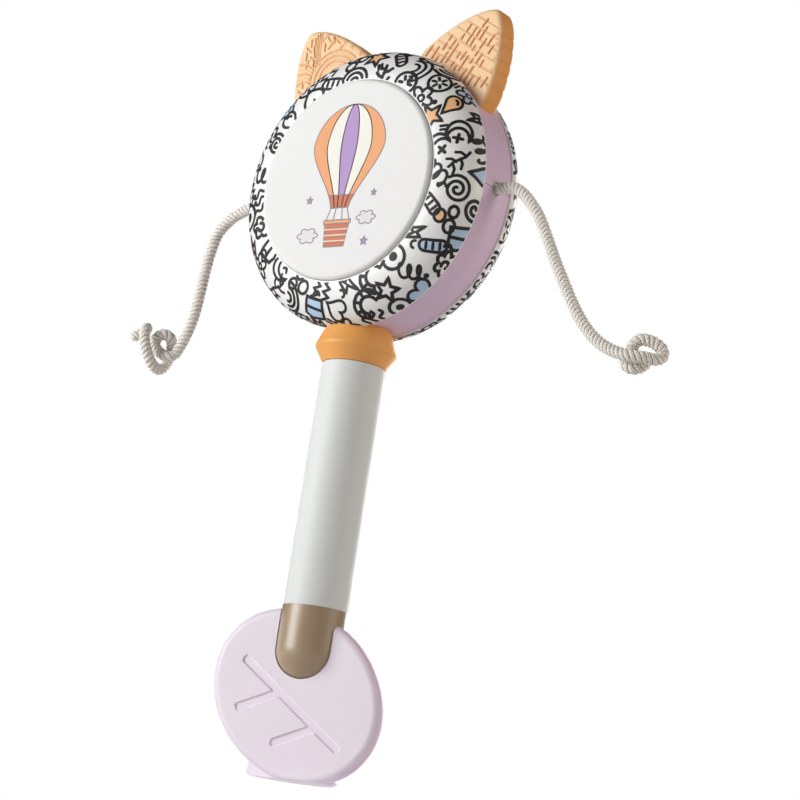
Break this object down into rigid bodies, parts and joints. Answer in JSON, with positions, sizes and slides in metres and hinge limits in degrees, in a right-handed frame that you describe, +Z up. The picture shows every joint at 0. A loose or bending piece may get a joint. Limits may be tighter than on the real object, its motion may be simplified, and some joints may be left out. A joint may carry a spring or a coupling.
{
  "type": "pellet drum rattle",
  "caption": "Two-faced pellet drum on a stick handle, with soft ears, knotted rope strikers that swing at its sides, a bead collar, a domed end cap and a leaf-shaped standing foot.",
  "frame": {"origin": "on the floor under the handle axis", "axes": "+Z up along the handle, -Y out of the front drum skin, +X to the drum's right as seen from its front"},
  "size_m": [0.2015, 0.0386, 0.2446],
  "materials": {
    "printed_shell": null,
    "drum_skin": "smooth white plastic plate",
    "lilac_band": "matte lilac plastic",
    "orange_silicone": "soft matte silicone",
    "grip_white": "satin white plastic",
    "taupe_cap": "glossy taupe plastic",
    "pale_leaf": "matte pale lilac plastic",
    "cotton_rope": "twisted off-white cotton",
    "screw_steel": "plain steel"
  },
  "bodies": {
    "drum_and_handle": {"front_shell": "printed_shell", "rear_shell": "printed_shell", "upper_band": "lilac_band", "lower_band": "lilac_band", "front_skin": "drum_skin", "rear_skin": "drum_skin", "left_ear": "orange_silicone", "right_ear": "orange_silicone", "shell_screws": "screw_steel", "neck_stem": "grip_white", "collar": "orange_silicone", "handle_tube": "grip_white", "end_cap": "taupe_cap", "leaf_plate": "pale_leaf", "rear_foot": "pale_leaf", "left_rope_anchor": "cotton_rope", "right_rope_anchor": "cotton_rope"},
    "left_striker": {"left_rope": "cotton_rope", "left_knot": "cotton_rope"},
    "right_striker": {"right_rope": "cotton_rope", "right_knot": "cotton_rope"}
  },
  "joints": [
    {"name": "left_swing", "type": "hinge", "parent": "drum_and_handle", "child": "left_striker", "pos_m": [-0.0468, 0, 0.1856], "axis": [0, 0, 1], "range_deg": [-75, 75]},
    {"name": "right_swing", "type": "hinge", "parent": "drum_and_handle", "child": "right_striker", "pos_m": [0.0468, 0, 0.1856], "axis": [0, 0, 1], "range_deg": [-75, 75]}
  ]
}
